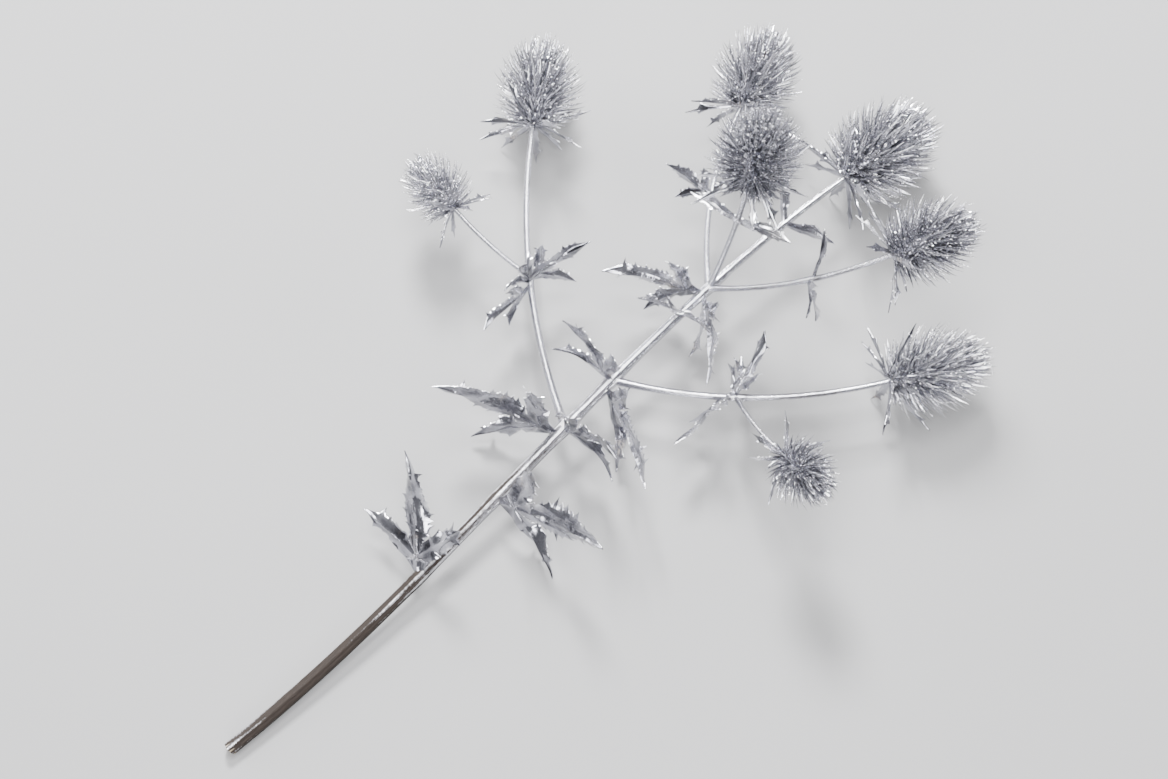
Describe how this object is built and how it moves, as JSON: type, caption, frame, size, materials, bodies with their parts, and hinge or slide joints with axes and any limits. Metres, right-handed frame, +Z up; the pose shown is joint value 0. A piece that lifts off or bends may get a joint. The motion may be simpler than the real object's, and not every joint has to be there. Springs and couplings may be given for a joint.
{
  "type": "sea holly stem",
  "caption": "Dried silver-painted sea holly: a branching ribbed stem with spiny flower heads, toothed bract collars and cut leaves, lying flat.",
  "frame": {"origin": "The middle of the bottom of the bounding box, on the surface that the cut stem lies on.", "axes": "+Z is up. +Y runs along the stem from its cut end to the top head. +X is to the right, seen from above with the heads away from the viewer."},
  "size_m": [0.3538, 0.5716, 0.1713],
  "materials": {
    "stem": "satin",
    "flowers": "satin",
    "bracts": "satin",
    "leaves": "satin"
  },
  "bodies": {
    "root": {"collar_left": "bracts", "collar_left_small": "bracts", "collar_main": "bracts", "collar_right": "bracts", "collar_right_small": "bracts", "collar_upper_left": "bracts", "collar_upper_right": "bracts", "collar_upright": "bracts", "head_left": "flowers", "head_left_small": "flowers", "head_main": "flowers", "head_right": "flowers", "head_right_small": "flowers", "head_upper_left": "flowers", "head_upper_right": "flowers", "head_upright": "flowers", "leaf_left_12": "leaves", "leaf_left_13": "leaves", "leaf_left_14": "leaves", "leaf_main_1": "leaves", "leaf_main_10": "leaves", "leaf_main_11": "leaves", "leaf_main_2": "leaves", "leaf_main_3": "leaves", "leaf_main_4": "leaves", "leaf_main_5": "leaves", "leaf_main_6": "leaves", "leaf_main_7": "leaves", "leaf_main_8": "leaves", "leaf_main_9": "leaves", "leaf_right_15": "leaves", "leaf_right_16": "leaves", "leaf_right_17": "leaves", "leaf_upper_left_18": "leaves", "leaf_upper_left_19": "leaves", "leaf_upper_right_20": "leaves", "leaf_upper_right_21": "leaves", "leaf_upright_22": "leaves", "leaf_upright_23": "leaves", "stem": "stem"}
  },
  "joints": []
}
